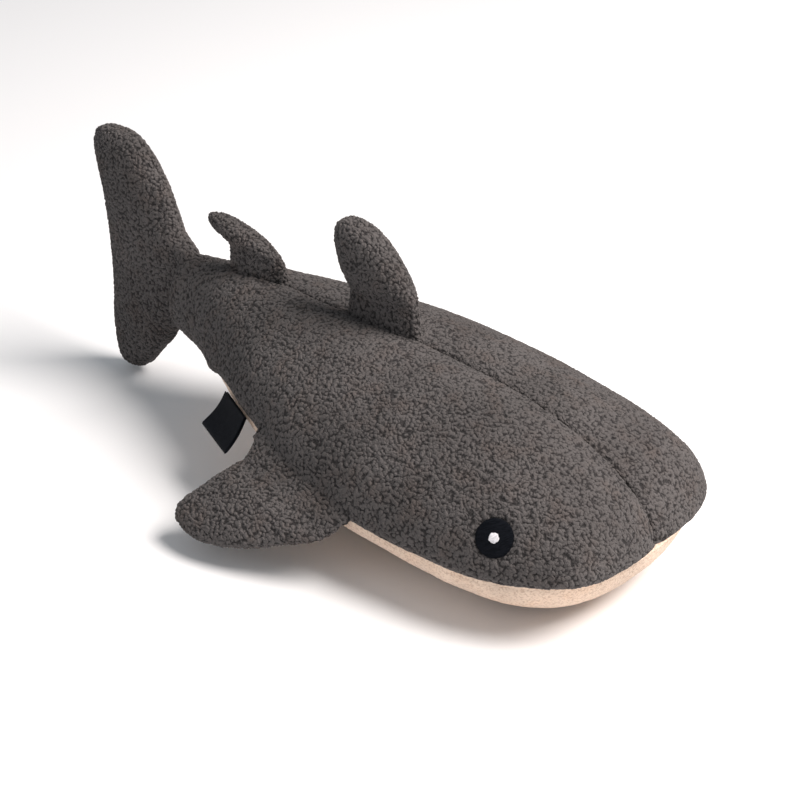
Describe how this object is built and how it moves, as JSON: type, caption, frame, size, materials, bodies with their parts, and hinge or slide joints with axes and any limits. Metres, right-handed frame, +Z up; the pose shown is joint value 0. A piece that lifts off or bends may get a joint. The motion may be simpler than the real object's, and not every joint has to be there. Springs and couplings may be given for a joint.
{
  "type": "plush shark",
  "caption": "Stuffed shark of curly grey fleece with a pale belly, embroidered eyes, soft dorsal, pectoral and tail fins that flex at their seams, and a folded ribbon label.",
  "frame": {"origin": "middle of the length and width, on the surface that the belly rests on", "axes": "+X from the tail to the nose, +Z up, +Y to the shark's left"},
  "size_m": [0.423, 0.2552, 0.1665],
  "materials": {
    "grey_fleece": "curly teddy fleece, matt",
    "belly_fleece": "short brushed fleece, matt",
    "stuffing": "loose polyester fibre",
    "eye_thread": "satin-stitched black thread",
    "glint_thread": "satin-stitched white thread",
    "seam_thread": "twisted sewing thread",
    "label_ribbon": "woven satin ribbon",
    "squeaker_plastic": "soft translucent moulding"
  },
  "bodies": {
    "torso": {"right_side_panel": "grey_fleece", "left_side_panel": "grey_fleece", "belly_panel": "belly_fleece", "body_stuffing": "stuffing", "squeaker_bulb": "squeaker_plastic", "squeaker_reed": "squeaker_plastic", "right_eye": "eye_thread", "left_eye": "eye_thread", "right_eye_glint": "glint_thread", "left_eye_glint": "glint_thread", "closing_stitches": "seam_thread"},
    "dorsal_fin": {"dorsal_fin_left_panel": "grey_fleece", "dorsal_fin_right_panel": "grey_fleece", "dorsal_fin_stuffing": "stuffing"},
    "rear_dorsal_fin": {"rear_dorsal_fin_left_panel": "grey_fleece", "rear_dorsal_fin_right_panel": "grey_fleece", "rear_dorsal_fin_stuffing": "stuffing"},
    "tail_fin": {"tail_fin_left_panel": "grey_fleece", "tail_fin_right_panel": "grey_fleece", "tail_fin_stuffing": "stuffing"},
    "right_pectoral_fin": {"right_pectoral_fin_top_panel": "grey_fleece", "right_pectoral_fin_underside_panel": "grey_fleece", "right_pectoral_fin_stuffing": "stuffing"},
    "left_pectoral_fin": {"left_pectoral_fin_top_panel": "grey_fleece", "left_pectoral_fin_underside_panel": "grey_fleece", "left_pectoral_fin_stuffing": "stuffing"},
    "side_label": {"side_label": "label_ribbon"}
  },
  "joints": [
    {"name": "dorsal_fin_flex", "type": "hinge", "parent": "torso", "child": "dorsal_fin", "pos_m": [0.017, 0, 0.1169], "axis": [1, 0, 0], "range_deg": [-40, 40], "stiffness_Nm_per_rad": 0.12},
    {"name": "rear_dorsal_fin_flex", "type": "hinge", "parent": "torso", "child": "rear_dorsal_fin", "pos_m": [-0.081, 0, 0.1164], "axis": [1, 0, 0], "range_deg": [-40, 40], "stiffness_Nm_per_rad": 0.08},
    {"name": "tail_fin_swing", "type": "hinge", "parent": "torso", "child": "tail_fin", "pos_m": [-0.1435, 0, 0.074], "axis": [0.2559, 0, 0.9667], "range_deg": [-35, 35], "stiffness_Nm_per_rad": 0.25},
    {"name": "right_pectoral_fin_flap", "type": "hinge", "parent": "torso", "child": "right_pectoral_fin", "pos_m": [0.02632, -0.0901, 0.04101], "axis": [-0.9672, 0.1795, 0.1795], "range_deg": [-4, 60], "stiffness_Nm_per_rad": 0.12},
    {"name": "left_pectoral_fin_flap", "type": "hinge", "parent": "torso", "child": "left_pectoral_fin", "pos_m": [0.02632, 0.0901, 0.04101], "axis": [0.9672, 0.1795, -0.1795], "range_deg": [-4, 60], "stiffness_Nm_per_rad": 0.12},
    {"name": "side_label_flex", "type": "hinge", "parent": "torso", "child": "side_label", "pos_m": [-0.04294, -0.06084, 0.05504], "axis": [-0.8957, 0.4447, 0], "range_deg": [-30, 75], "stiffness_Nm_per_rad": 0.004}
  ]
}
